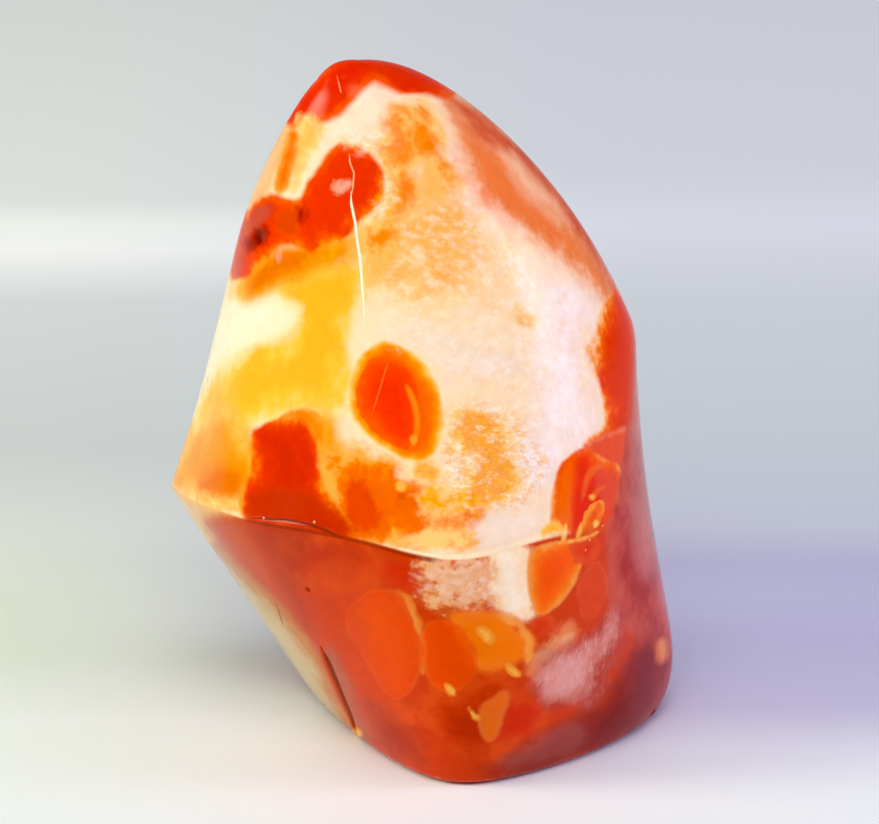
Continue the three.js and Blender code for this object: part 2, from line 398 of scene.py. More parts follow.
# Markings, painted over each other in this order: those below the ridge, those above it and those on either
# side. Outlines are in pixels of the photo ("front") or of the same view from straight behind ("behind");
# every other size is in mm. "edge" is how far outside its outline a marking begins to thin out and where it
# ends, "wander" is how far the coarse and the fine noise shift that edge, "stops" are its colours by distance
# outside the outline, and "mottle" is how far the noises shift those. "cover" is given where it hides only
# a share of what is under it
lowerMarkings = {
    "embers": {
        "stops": [(-6, "BC2E0C"), (-3, "CC3A0E"), (0, "DA4A14")],
        "edge": (-1, 3), "wander": (2, 0.6), "mottle": (2.4, 0.8),
        "front": [oval(400, 735, 60, 26, -6), oval(330, 560, 50, 30), oval(480, 720, 60, 40)],
        "behind": [oval(420, 640, 90, 40), oval(300, 600, 40, 60)],
    },
    "clayPane": {
        "stops": [(-4, "CC4404"), (-1, "C43A04"), (1, "BA3408")],
        "edge": (-2, 1.5), "wander": (0.6, 0.12), "mottle": (1.5, 0.3),
        "front": [[(186, 505), (222, 508), (252, 512), (262, 535), (276, 565), (292, 598), (306, 628),
                   (320, 655), (300, 640), (262, 590), (232, 552), (206, 522)]],
        "behind": [[(640, 560), (690, 560), (660, 640), (590, 720), (580, 680)]],
    },
    "darkSeam": {
        "stops": [(-2.5, "A0280E"), (0, "B23210")],
        "edge": (-2, 2.5), "wander": (0.5, 0.3), "mottle": (0.5, 0.3), "cover": 0.45,
        "front": [[(248, 516), (290, 522), (316, 528), (312, 540), (300, 560), (302, 590), (318, 630),
                   (310, 640), (290, 606), (268, 562)]],
    },
    # tan and orange stone along the lower left edge; its cream inner part is a painted reflection of the pale
    # floor where the surface turns away
    "tanLimbAndReflection": {
        "stops": [(-4, "D8BE94"), (-2, "CCA476"), (-0.5, "C47434"), (1.5, "BE4408")],
        "edge": (0, 2.2), "wander": (0.4, 0.08), "mottle": (0.5, 0.1),
        "front": [[(150, 480), (180, 500), (191, 510), (201, 526), (214, 544), (230, 562), (249, 579),
                   (267, 595), (284, 612), (300, 632), (313, 652), (323, 672), (333, 696), (343, 716),
                   (352, 738), (330, 770), (280, 710), (240, 650), (200, 580), (170, 530)]],
        "behind": [[(655, 560), (690, 530), (680, 600), (620, 690), (600, 700)]],
    },
    # painted highlight where the left corner and the start of the ridge catch the light
    "limbHighlight": {
        "stops": [(-1, "F4BC74"), (1, "E08A3C")],
        "edge": (-0.5, 2), "wander": (0.4, 0.1), "mottle": (0.5, 0.1), "cover": 0.85,
        "front": [[(170, 488), (200, 498), (244, 508), (244, 514), (222, 514), (206, 514), (202, 524),
                   (214, 542), (206, 544), (190, 526), (170, 504)]],
    },
    "groovePane": {
        "stops": [(-2, "A0685A"), (0, "A8503A")],
        "edge": (-1, 1.6), "wander": (0.4, 0.2), "mottle": (0.8, 0.4), "cover": 0.5,
        "front": [[(326, 640), (338, 652), (352, 682), (362, 712), (374, 742), (362, 744), (350, 716),
                   (338, 682), (326, 656)]],
    },
    # painted shade low on the left, where the foot curves away from the light
    "shadedFoot": {
        "stops": [(-3, "A83018"), (0, "B83A1E")],
        "edge": (-1.5, 1.5), "wander": (0.8, 0.3), "mottle": (1, 0.5), "cover": 0.7,
        "front": [[(368, 690), (400, 716), (420, 742), (440, 772), (400, 764), (372, 744), (356, 706)]],
    },
    # deep red of the right wall, darkened further with painted shade as it faces away from the main light
    "rightWall": {
        "stops": [(-6, "A83226"), (-3, "BE4836"), (0, "C85642")],
        "edge": (-1, 1.5), "wander": (0.8, 0.15), "mottle": (3, 0.5),
        "front": [[(606, 530), (612, 492), (622, 452), (634, 420), (650, 420), (668, 560), (684, 640),
                   (660, 660), (636, 640), (616, 612), (604, 570)]],
        "behind": [[(210, 420), (260, 430), (280, 560), (270, 640), (200, 640)]],
    },
    # painted reflection of the lilac-lit surroundings along the right edge of the wall
    "mauveReflection": {
        "stops": [(-3, "CC868C"), (0, "C8625A")],
        "edge": (-2.4, 1.4), "wander": (0.6, 0.15), "mottle": (1, 0.2), "cover": 0.5,
        "front": [[(640, 450), (652, 460), (668, 540), (680, 600), (684, 640), (670, 620), (656, 560),
                   (644, 510)]],
    },
    "wallBloom": {
        "stops": [(-2, "D27C70"), (0, "C46A60")],
        "edge": (-2, 2), "wander": (0.6, 0.15), "mottle": (1, 0.2), "cover": 0.55,
        "front": [[(626, 500), (640, 490), (652, 520), (656, 560), (648, 584), (636, 574), (628, 540)]],
    },
    # wine red low on the right, darkened with painted shade where little light reaches
    "shadedWineFoot": {
        "stops": [(-6, "80160A"), (-3, "90200F"), (0, "A22E16")],
        "edge": (-3, 3), "wander": (1.6, 0.3), "mottle": (1.4, 0.3),
        "front": [[(604, 690), (622, 660), (640, 636), (664, 640), (684, 660), (660, 740), (600, 760),
                   (540, 775), (486, 782), (494, 762), (530, 742), (572, 722)]],
        "behind": [[(204, 640), (240, 600), (290, 620), (330, 680), (420, 730), (520, 740), (600, 730),
                    (560, 780), (400, 800), (240, 770), (206, 700)]],
    },
    # painted shade with a painted reflection of the floor, low on the right
    "wineShadeAndReflection": {
        "stops": [(-2, "A4524A"), (0, "9A3A2C")],
        "edge": (-2, 2.4), "wander": (1.4, 0.4), "mottle": (1, 0.4), "cover": 0.6,
        "front": [[(520, 742), (548, 728), (580, 716), (592, 730), (580, 752), (548, 766), (510, 772),
                   (490, 766)]],
    },
    "emberGlow": {
        "stops": [(-3, "E04C16"), (0, "D84014")],
        "edge": (-2, 3), "wander": (1.4, 0.4), "mottle": (1.6, 0.6), "cover": 0.5,
        "front": [oval(346, 576, 40, 22, 12)],
    },
    "redPool": {
        "stops": [(-3, "D02C0C"), (0, "D83C14")],
        "edge": (-1.5, 1.5), "wander": (1, 0.4), "mottle": (1, 0.4),
        "front": [[(500, 700), (530, 698), (548, 706), (540, 728), (510, 744), (490, 742), (496, 720)],
                  [(376, 560), (400, 556), (414, 562), (410, 574), (424, 584), (410, 592), (386, 582)]],
        "behind": [oval(520, 700, 30, 18)],
    },
    "hazySalmon": {
        "stops": [(-3, "F0AC7C"), (0, "E68450")],
        "edge": (-2, 1.2), "wander": (1, 0.6), "mottle": (1.5, 1.2), "cover": 0.9,
        "front": [[(528, 676), (530, 656), (545, 642), (562, 626), (576, 626), (580, 640), (562, 654),
                   (544, 672)]],
    },
    "hazyRose": {
        "stops": [(-5, "E0A098"), (-2, "D08074"), (1, "AC443A")],
        "edge": (-1.8, 2.4), "wander": (1.2, 0.4), "mottle": (2, 0.8), "cover": 0.85,
        "front": [[(530, 690), (536, 668), (552, 652), (575, 642), (596, 634), (608, 616), (620, 604),
                   (622, 628), (616, 652), (602, 668), (604, 690), (590, 704), (566, 706), (545, 702)]],
        "behind": [oval(380, 600, 40, 30, -10)],
    },
    "brownSugar": {
        "stops": [(-4, "F2B082"), (-2, "EA9458"), (-0.5, "DE7038"), (0.8, "D05424")],
        "edge": (-1, 1.6), "wander": (1.2, 1), "mottle": (2.6, 3.4),
        "front": [[(412, 556), (440, 552), (492, 550), (502, 570), (498, 600), (492, 608), (470, 614),
                   (446, 618), (428, 612), (420, 598), (428, 582), (416, 574)]],
        "behind": [[(440, 575), (500, 560), (580, 566), (590, 590), (540, 606), (480, 606), (446, 600)]],
    },
    "paleSugar": {
        "stops": [(-3, "FFE6CC"), (-1, "FBD6AE"), (0.5, "F0A878")],
        "edge": (-0.8, 1.8), "wander": (0.8, 0.3), "mottle": (1.4, 0.7),
        "front": [[(488, 548), (522, 544), (534, 552), (531, 580), (536, 600), (536, 618), (516, 620),
                   (500, 614), (492, 600), (482, 588), (490, 570)]],
        "behind": [oval(500, 600, 40, 14, 8)],
    },
    "amberLobe": {
        "stops": [(-4, "F67A10"), (-1.2, "F57C1E"), (0.4, "EA621A")],
        "edge": (-1.4, 1), "wander": (0.5, 0.2), "mottle": (2, 0.5), "cover": 0.95,
        "front": [[(446, 612), (470, 608), (492, 610), (512, 616), (526, 626), (534, 642), (530, 658),
                   (516, 668), (496, 676), (474, 676), (458, 650), (448, 628)]],
        "behind": [[(330, 620), (352, 606), (380, 612), (392, 640), (376, 668), (344, 670), (326, 646)]],
    },
    "lobeRim": {
        "stops": [(-0.6, "FBB454"), (0.4, "F49434")],
        "edge": (-0.2, 0.9), "wander": (0.5, 0.3), "mottle": (0.4, 0.3), "cover": 0.55,
        "front": [[(496, 611), (514, 616), (526, 625), (534, 638), (533, 654), (526, 666), (527, 650),
                   (525, 638), (516, 628), (500, 618)],
                  [(394, 589), (408, 599), (418, 618), (425, 640), (427, 658), (421, 678), (419, 660),
                   (417, 642), (410, 622), (402, 604)]],
    },
    "lowerEyeLeft": {
        "stops": [(-6, "EC500A"), (-2, "E84A0A"), (-0.4, "E4480E"), (-0.1, "E8581C"), (0.4, "DA4618")],
        "edge": (-0.4, 0.6), "wander": (0.5, 0.15), "mottle": (0.3, 0.2), "cover": 0.9,
        "front": [[(362, 594), (378, 590), (396, 591), (406, 602), (414, 620), (421, 640), (423, 656),
                   (419, 676), (410, 692), (398, 701), (384, 694), (374, 676), (362, 654), (348, 634),
                   (344, 612)]],
        "behind": [[(388, 600), (410, 584), (440, 590), (456, 620), (450, 660), (424, 676), (400, 660),
                    (386, 630)]],
    },
    "emberVeil": {
        "stops": [(-3, "D4401A"), (0, "D8481A")],
        "edge": (-3, 2), "wander": (1, 0.4), "mottle": (1, 0.5), "cover": 0.8,
        "front": [[(334, 590), (360, 584), (362, 610), (366, 640), (376, 676), (390, 706), (370, 700),
                   (350, 660)]],
    },
    "lowerEyeRight": {
        "stops": [(-5, "F04E08"), (-1, "F04E0A"), (-0.2, "EE5A18"), (0.5, "DC4C18")],
        "edge": (-0.5, 0.6), "wander": (0.5, 0.2), "mottle": (0.6, 0.2), "cover": 0.75,
        "front": [[(424, 624), (438, 617), (454, 621), (468, 636), (476, 654), (479, 672), (468, 686),
                   (454, 696), (440, 692), (428, 680), (420, 660), (418, 640)]],
        "behind": [oval(520, 650, 26, 30, -10)],
    },
    "redTriangle": {
        "stops": [(-1, "F0741E"), (0, "E87830")],
        "edge": (-0.4, 0.8), "wander": (0.4, 0.2), "mottle": (0.3, 0.3), "cover": 0.75,
        "front": [[(478, 706), (492, 698), (506, 688), (509, 700), (502, 716), (497, 738), (488, 744),
                   (480, 730)]],
    },
    "lowerLobe": {
        "stops": [(-4, "F25006"), (-2, "F4620C"), (-0.6, "F47A1C"), (0.2, "F09440")],
        "edge": (0, 0.8), "wander": (0.3, 0.15), "mottle": (0.8, 0.3),
        "front": [[(530, 550), (548, 544), (574, 541), (584, 546), (580, 566), (574, 584), (562, 600),
                   (550, 612), (538, 616), (532, 600), (528, 576)]],
    },
    "edgeFleck": {
        "stops": [(-1.2, "E48848"), (0.4, "C85430")],
        "edge": (-0.6, 1), "wander": (0.5, 0.2), "mottle": (0.4, 0.2),
        "front": [oval(662, 650, 7, 13)],
    },
    "lobeShoulder": {
        "stops": [(-2, "D8300C"), (0, "DC4A1C")],
        "edge": (-0.5, 0.8), "wander": (0.5, 0.3), "mottle": (0.8, 0.4), "cover": 0.9,
        "front": [[(568, 541), (598, 537), (600, 550), (586, 566), (574, 560)],
                  [(532, 618), (552, 614), (556, 624), (544, 632), (536, 638), (530, 630)]],
    },
    "secondLobe": {
        "stops": [(-2, "DE4A20"), (-0.3, "DA4C22"), (0, "DC5C30")],
        "edge": (-0.3, 0.4), "wander": (0.4, 0.2), "mottle": (0.5, 0.3), "cover": 0.55,
        "front": [[(576, 588), (584, 570), (598, 556), (606, 572), (606, 594), (598, 614), (588, 624),
                   (580, 612)]],
    },
}
upperMarkings = {
    "apricot": {
        "stops": [(-6, "FCD09C"), (0, "FCD6AA")],
        "edge": (-5, 4), "wander": (3, 0.15), "mottle": (5, 0.4),
        "front": [[(440, 105), (466, 140), (484, 200), (530, 235), (545, 262), (520, 300), (520, 335),
                   (470, 330), (420, 322), (372, 312), (366, 262), (385, 235), (410, 215), (412, 150)],
                  oval(337, 424, 13, 24), [(470, 360), (530, 380), (525, 430), (480, 400)]],
        "behind": [[(330, 180), (420, 110), (500, 120), (560, 200), (600, 320), (560, 300), (480, 280),
                    (400, 330), (330, 320), (300, 260)],
                   [(420, 480), (520, 470), (600, 440), (640, 500), (560, 540), (450, 530)]],
    },
    "warmWash": {
        "stops": [(-6, "F8B058"), (-2, "FABE74"), (1, "FBCE98")],
        "edge": (-3, 4), "wander": (2.4, 0.5), "mottle": (5, 1.6),
        "front": [[(384, 100), (440, 102), (462, 150), (478, 200), (478, 262), (470, 298), (440, 292),
                   (402, 284), (372, 300), (352, 290), (352, 232), (384, 214), (394, 170)],
                  [(326, 404), (344, 440), (350, 470), (334, 500), (322, 460)]],
        "behind": [[(380, 160), (470, 150), (500, 220), (480, 300), (420, 340), (370, 280)]],
    },
    # rosy white quartz, with a painted soft reflection of a lamp over it
    "rosyWhiteAndReflection": {
        "stops": [(-6, "F8E4DC"), (-2, "F4DACC"), (2, "F4D4BC")],
        "edge": (-5, 4), "wander": (2.6, 0.2), "mottle": (4, 0.5),
        "front": [[(536, 268), (570, 276), (600, 290), (604, 320), (588, 350), (594, 390), (612, 430),
                   (592, 442), (566, 462), (556, 500), (530, 500), (506, 470), (520, 430), (538, 390),
                   (546, 340), (534, 300)], oval(560, 410, 24, 30)],
        "behind": [[(470, 330), (500, 300), (520, 350), (500, 420), (460, 440), (440, 380)],
                   [(560, 130), (590, 200), (610, 300), (590, 320), (560, 240)]],
    },
    "quartzClouds": {
        "stops": [(-4, "F4DCC6"), (0, "F2D4BA")],
        "edge": (-3, 2.5), "wander": (2.4, 0.25), "mottle": (3, 0.6),
        "front": [[(330, 118), (352, 100), (368, 84), (396, 90), (392, 104), (376, 118), (380, 150),
                   (366, 150), (346, 142), (330, 146), (318, 160), (306, 176), (312, 150)],
                  [(430, 345), (470, 340), (520, 355), (505, 385), (470, 378), (445, 400), (436, 372)],
                  [(376, 316), (430, 322), (470, 345), (436, 358), (400, 345), (380, 342)],
                  [(440, 455), (472, 470), (462, 492), (438, 480)],
                  [(414, 160), (428, 162), (420, 190), (414, 178)],
                  [(444, 190), (470, 196), (484, 214), (462, 212)],
                  [(330, 420), (350, 424), (354, 450), (338, 446)],
                  [(484, 512), (520, 505), (552, 500), (548, 524), (520, 545), (484, 552), (470, 544)],
                  [(442, 112), (452, 124), (462, 148), (474, 186), (470, 206), (460, 196), (452, 166),
                   (444, 140)]],
        "behind": [oval(470, 200, 40, 40), oval(380, 500, 60, 30, -10)],
    },
    # cream stone on the left strip, with a painted reflection of the bright room where the surface turns away
    "creamAndReflectionField": {
        "stops": [(-5, "EEE2CA"), (-1, "EEDFBE"), (1.5, "F0D494")],
        "edge": (-1.4, 1.6), "wander": (0.9, 0.08), "mottle": (1, 0.2),
        "front": [[(216, 300), (240, 296), (258, 288), (277, 292), (288, 304), (300, 308), (297, 324),
                   (283, 336), (260, 345), (237, 354), (224, 368), (211, 396), (198, 428), (186, 456),
                   (174, 484), (150, 480), (180, 400)]],
        "behind": [oval(668, 400, 30, 100, 12)],
    },
    "amberField": {
        "stops": [(-5, "F0AE2A"), (-1, "F2BC3C"), (3, "F6CC74")],
        "edge": (-1.5, 2.6), "wander": (1.2, 0.1), "mottle": (4, 0.5),
        "front": [[(280, 282), (302, 262), (342, 256), (360, 268), (362, 296), (352, 322), (344, 350),
                   (350, 384), (346, 406), (330, 414), (300, 410), (262, 418), (240, 432), (202, 452),
                   (178, 462), (190, 430), (204, 398), (220, 370), (250, 352), (284, 340), (300, 324),
                   (302, 304), (290, 298)]],
        "behind": [[(500, 330), (540, 310), (580, 330), (590, 370), (570, 410), (530, 430), (500, 460),
                    (470, 430), (480, 380)]],
    },
    "honeyField": {
        "stops": [(-4, "EA8E14"), (-1, "EEA02A"), (2.5, "F4BA5C")],
        "edge": (-1.6, 3), "wander": (1.1, 0.1), "mottle": (3, 0.4),
        "front": [[(168, 484), (178, 458), (192, 432), (214, 412), (244, 420), (258, 446), (258, 474),
                   (250, 502), (214, 502), (188, 494)],
                  [(228, 292), (240, 276), (256, 262), (272, 248), (300, 242), (340, 236), (360, 234),
                   (356, 256), (340, 268), (304, 272), (284, 282), (262, 298), (244, 300)],
                  [(314, 404), (330, 414), (336, 440), (352, 458), (352, 482), (342, 502), (324, 500),
                   (312, 456)]],
        "behind": [[(706, 484), (690, 440), (662, 424), (634, 444), (622, 484), (640, 512), (684, 508)],
                   [(290, 380), (320, 350), (350, 356), (352, 400), (330, 440), (300, 430)]],
    },
    "deepHoney": {
        "stops": [(-2, "E06606"), (1, "E67A0C")],
        "edge": (-2, 3), "wander": (0.8, 0.15), "mottle": (2, 0.4), "cover": 0.85,
        "front": [[(196, 492), (206, 474), (222, 466), (244, 472), (246, 500), (216, 500)],
                  [(248, 290), (254, 272), (266, 256), (284, 246), (304, 250), (324, 246), (306, 262),
                   (284, 274), (264, 288)]],
    },
    "honeyColumns": {
        "stops": [(-3, "F07400"), (-1, "F48308"), (2, "FBBC64")],
        "edge": (-1.8, 3.4), "wander": (2.2, 0.8), "mottle": (3, 1.2), "cover": 0.9,
        "front": [[(386, 112), (400, 102), (414, 108), (410, 136), (414, 164), (396, 170), (386, 146)],
                  [(394, 172), (412, 172), (418, 190), (408, 214), (392, 212), (400, 192)],
                  [(414, 104), (432, 104), (440, 126), (442, 148), (424, 156), (414, 140)],
                  [(430, 166), (448, 160), (456, 184), (442, 192)],
                  [(366, 236), (392, 222), (402, 236), (380, 252)]],
        "behind": [[(350, 200), (366, 196), (378, 240), (380, 290), (366, 300), (354, 260)],
                   [(470, 210), (486, 206), (496, 250), (488, 280), (474, 260)],
                   [(500, 140), (516, 150), (520, 190), (508, 200)]],
    },
    "honeyDrift": {
        "stops": [(-3, "F8AC4C"), (-1, "F9B260"), (2, "FBC888")],
        "edge": (-2, 3.4), "wander": (2.8, 1.2), "mottle": (3, 1.6), "cover": 0.5,
        "front": [[(412, 206), (440, 192), (462, 208), (482, 232), (476, 262), (456, 280), (466, 300),
                   (440, 292), (420, 268), (404, 240)], [(498, 232), (512, 226), (520, 238), (508, 246)]],
    },
    "amberCrescent": {
        "stops": [(-1, "F2B458"), (0.4, "F4C880")],
        "edge": (-0.8, 1.2), "wander": (0.5, 0.2), "mottle": (0.4, 0.2), "cover": 0.9,
        "front": [[(514, 300), (522, 312), (535, 316), (535, 325), (526, 329), (516, 324), (512, 312)]],
    },
    "orangePool": {
        "stops": [(-4, "EF6A08"), (-1.5, "F2841C"), (0.5, "F7A444")],
        "edge": (-1.5, 3), "wander": (1.8, 0.5), "mottle": (3.5, 1.6),
        "front": [[(316, 470), (328, 450), (344, 460), (358, 452), (392, 458), (402, 480), (420, 484),
                   (444, 492), (472, 498), (474, 514), (462, 530), (440, 534), (420, 546), (384, 548),
                   (354, 544), (332, 530), (320, 500)], oval(404, 500, 10, 12)],
        "behind": [oval(350, 490, 40, 30), oval(560, 440, 24, 40)],
    },
    "emberPool": {
        "stops": [(-2, "DE4210"), (0, "EA6418")],
        "edge": (-1.2, 2.6), "wander": (1, 0.6), "mottle": (1.5, 0.8), "cover": 0.9,
        "front": [[(344, 484), (358, 474), (374, 484), (388, 508), (392, 532), (372, 542), (352, 536),
                   (338, 522)], [(394, 490), (408, 486), (412, 504), (400, 510)]],
    },
    "amberSugar": {
        "stops": [(-3, "F89A08"), (-1, "FAAC20"), (1, "FCC878")],
        "edge": (-1.6, 2.4), "wander": (1.8, 1), "mottle": (3, 1.2), "cover": 0.85,
        "front": [[(446, 408), (468, 398), (488, 406), (494, 424), (506, 432), (512, 456), (522, 478),
                   (502, 500), (478, 508), (460, 494), (472, 470), (466, 446), (444, 440), (456, 424)],
                  oval(440, 500, 26, 12), oval(424, 470, 12, 10)],
        "behind": [oval(480, 560, 60, 30)],
    },
    # amber stone along the ridge, with a painted highlight where the ridge catches the light
    "ridgeAmberAndHighlight": {
        "stops": [(-1.5, "F8C878"), (0.5, "F5A850")],
        "edge": (-1.2, 1.6), "wander": (1, 0.8), "mottle": (1.5, 1.5),
        "front": [[(380, 540), (420, 528), (462, 530), (476, 542), (462, 550), (410, 550)],
                  [(168, 486), (192, 493), (216, 500), (246, 503), (246, 512), (214, 511), (190, 506)]],
        "behind": [[(250, 540), (380, 556), (520, 556), (560, 550), (520, 570), (380, 570)]],
    },
    "rustBand": {
        "stops": [(-3, "E8783C"), (-1, "E98850"), (1, "F0A880")],
        "edge": (-1.4, 3.4), "wander": (1.1, 0.4), "mottle": (2, 0.9),
        "front": [[(444, 98), (468, 112), (490, 140), (506, 160), (524, 182), (548, 204), (572, 226),
                   (596, 250), (612, 280), (616, 306), (604, 298), (580, 272), (552, 254), (530, 236),
                   (512, 222), (492, 208), (474, 178), (464, 148), (452, 122)]],
        "behind": [[(300, 130), (280, 200), (240, 280), (260, 290), (310, 210), (330, 140)]],
    },
    "limbRed": {
        "stops": [(-3, "C84A28"), (-1, "D66840"), (1, "E48A5C")],
        "edge": (-1.6, 2.6), "wander": (0.7, 0.15), "mottle": (1, 0.3),
        "front": [[(440, 90), (470, 100), (500, 124), (540, 158), (580, 200), (604, 236), (624, 286),
                   (616, 300), (602, 272), (578, 238), (556, 206), (530, 176), (508, 152), (486, 146),
                   (466, 124), (450, 106)]],
        "behind": [[(262, 200), (300, 140), (330, 120), (300, 200), (250, 300), (236, 300)]],
    },
    "paleStreaks": {
        "stops": [(-1, "EEB088"), (1, "E69A6C")],
        "edge": (-1.2, 1.4), "wander": (0.8, 0.2), "mottle": (0.8, 0.5), "cover": 0.5,
        "front": [[(500, 158), (512, 154), (534, 180), (556, 208), (566, 230), (550, 222), (526, 200),
                   (506, 176)]],
    },
    "redCap": {
        "stops": [(-3, "DA2A04"), (-1, "E23404"), (0.4, "EC5410")],
        "edge": (0.2, 2), "wander": (0.35, 0.06), "mottle": (1.2, 0.4),
        "front": [[(326, 70), (334, 54), (380, 50), (408, 58), (434, 74), (456, 92), (440, 94), (414, 88),
                   (394, 82), (378, 76), (366, 80), (356, 90), (348, 102), (336, 112), (320, 120),
                   (304, 124), (290, 130), (288, 104)]],
        "behind": [[(440, 66), (470, 46), (548, 46), (584, 100), (562, 116), (530, 90), (490, 80)]],
    },
    "amberTuft": {
        "stops": [(-2, "F6A838"), (0.6, "F8C474")],
        "edge": (-0.8, 1.6), "wander": (1, 0.6), "mottle": (1, 0.8), "cover": 0.9,
        "front": [[(296, 124), (312, 116), (324, 122), (318, 142), (306, 160), (304, 184), (296, 196),
                   (288, 190)],
                  [(328, 160), (342, 142), (352, 144), (340, 152), (328, 168), (316, 184), (312, 178)]],
    },
    "leftLimb": {
        "stops": [(-2, "E8B890"), (0.6, "F0A868")],
        "edge": (-1, 1.2), "wander": (0.5, 0.1), "mottle": (0.5, 0.1),
        "front": [[(288, 122), (292, 136), (284, 150), (276, 170), (270, 190), (256, 202), (246, 214),
                   (238, 246), (230, 290), (218, 300), (230, 230), (256, 160)]],
    },
    "leftStripe": {
        "stops": [(-1, "EE6C10"), (0, "F28A2C"), (1, "F6AA54")],
        "edge": (-0.2, 1.4), "wander": (0.5, 0.1), "mottle": (0.5, 0.15),
        "front": [[(290, 128), (299, 132), (297, 150), (291, 172), (286, 190), (276, 192), (276, 178),
                   (282, 156)]],
    },
    "eyeBelt": {
        "stops": [(-4, "E23602"), (-1.6, "E43A04"), (-0.4, "E84C08"), (0.4, "EE6C14"), (1.4, "F28E24")],
        "edge": (0, 1.5), "wander": (0.4, 0.08), "mottle": (1.6, 0.5),
        "front": [[(344, 147), (354, 148), (366, 154), (376, 165), (382, 180), (381, 194), (374, 206),
                   (364, 213), (355, 221), (348, 232), (336, 240), (322, 245), (308, 250), (298, 244),
                   (288, 243), (276, 244), (266, 258), (254, 268), (240, 276), (230, 280), (236, 254),
                   (240, 232), (248, 214), (260, 202), (274, 196), (284, 200), (296, 202), (304, 196),
                   (308, 184), (318, 172), (326, 160), (334, 150)]],
        "behind": [[(650, 206), (636, 196), (622, 204), (612, 226), (596, 240), (580, 262), (566, 290),
                    (578, 300), (600, 290), (622, 284), (644, 280), (658, 250)],
                   [(404, 160), (420, 142), (446, 140), (462, 156), (460, 184), (440, 206), (418, 204),
                    (402, 184)],
                   [(346, 372), (356, 350), (384, 342), (412, 352), (420, 378), (408, 404), (378, 414),
                    (354, 402)]],
    },
    "smoulder": {
        "stops": [(-1, "D04A20"), (0, "E05A1C")],
        "edge": (-1, 1), "wander": (0.8, 0.5), "mottle": (0.6, 0.4), "cover": 0.6,
        "front": [[(280, 206), (300, 210), (302, 236), (284, 238), (274, 226)],
                  [(242, 480), (256, 478), (262, 500), (262, 518), (246, 514)]],
    },
    "wineVeil": {
        "stops": [(-1.5, "B85040"), (0, "C44028")],
        "edge": (-0.8, 1), "wander": (0.7, 0.4), "mottle": (0.8, 0.5), "cover": 0.8,
        "front": [[(240, 232), (250, 212), (266, 202), (274, 206), (270, 222), (256, 228), (246, 250),
                   (242, 276), (232, 280)]],
    },
    "darkCore": {
        "stops": [(-1, "86190A"), (0.3, "B02410")],
        "edge": (-0.8, 1.1), "wander": (0.8, 0.6), "mottle": (0.5, 0.4), "cover": 0.85,
        "front": [[(242, 240), (254, 230), (270, 222), (270, 234), (262, 244), (252, 252), (244, 252)],
                  [(280, 456), (290, 458), (298, 470), (292, 480), (284, 474)],
                  [(298, 204), (308, 206), (304, 222), (298, 220)]],
        "behind": [oval(380, 380, 16, 12)],
    },
    "paleLens": {
        "stops": [(-1, "EEB6A0"), (0, "E89070")],
        "edge": (-0.5, 0.5), "wander": (0.6, 0.6), "mottle": (0.6, 0.6), "cover": 0.7,
        "front": [[(330, 186), (336, 178), (348, 177), (355, 184), (350, 192), (338, 196), (331, 192)],
                  [(274, 262), (276, 252), (282, 244), (284, 250), (278, 262)]],
    },
    "ringedEye": {
        "stops": [(-3.2, "F06204"), (-2, "F46C02"), (-1.2, "F57E06"), (-0.4, "F8961A"), (0.4, "F8B450"),
                  (1.4, "F9D286")],
        "edge": (0, 1.2), "wander": (0.4, 0.2), "mottle": (0.8, 0.3),
        "front": [[(350, 396), (352, 380), (358, 366), (368, 353), (380, 346), (390, 344), (402, 350),
                   (416, 358), (428, 371), (437, 388), (441, 408), (440, 430), (435, 448), (426, 459),
                   (414, 461), (398, 455), (384, 446), (370, 434), (358, 421), (352, 410)]],
        "behind": [[(408, 286), (416, 262), (440, 250), (462, 262), (470, 288), (460, 316), (438, 330),
                    (416, 316)]],
    },
    "eyeCore": {
        "stops": [(-5, "EE3604"), (-2, "F23E08"), (-0.5, "F44C0C"), (0.2, "F45A0E")],
        "edge": (-0.2, 0.5), "wander": (0.3, 0.2), "mottle": (1.2, 0.4),
        "front": [[(356, 396), (358, 380), (366, 365), (376, 357), (388, 359), (400, 362), (410, 370),
                   (416, 384), (420, 402), (421, 424), (418, 444), (408, 450), (394, 446), (380, 436),
                   (368, 424), (359, 411)]],
        "behind": [[(422, 288), (428, 270), (444, 264), (456, 278), (456, 300), (442, 314), (426, 306)]],
    },
    "eyeLoop": {
        "stops": [(-0.4, "F6922A"), (0.3, "F4700E")],
        "edge": (-0.2, 0.5), "wander": (0.2, 0.1), "mottle": (0.2, 0.1), "cover": 0.75,
        "front": [[(404, 382), (413, 392), (419, 408), (421, 428), (417, 444), (408, 452), (411, 442),
                   (415, 428), (413, 408), (408, 394)]],
    },
    "redBlock": {
        "stops": [(-5, "CC2808"), (-2.4, "D83008"), (-0.8, "E2420A"), (0.2, "EC6212"), (1.4, "F28C26")],
        "edge": (0.1, 1.5), "wander": (0.6, 0.15), "mottle": (1.8, 0.6),
        "front": [[(252, 438), (256, 428), (268, 424), (280, 422), (290, 415), (304, 413), (314, 422),
                   (313, 440), (315, 460), (321, 480), (328, 494), (338, 508), (346, 522), (352, 538),
                   (336, 545), (300, 532), (262, 530), (244, 516), (242, 492), (254, 482), (256, 464)]],
        "behind": [[(420, 470), (440, 444), (470, 438), (500, 446), (520, 438), (540, 450), (536, 476),
                    (510, 486), (480, 480), (452, 492), (430, 488)],
                   [(300, 470), (316, 440), (340, 436), (362, 456), (366, 490), (350, 520), (330, 560),
                    (306, 550), (296, 506)]],
    },
    "blockFoot": {
        "stops": [(-1.5, "BC3214"), (0.5, "CA3810")],
        "edge": (-1, 2), "wander": (0.8, 0.3), "mottle": (0.8, 0.3), "cover": 0.7,
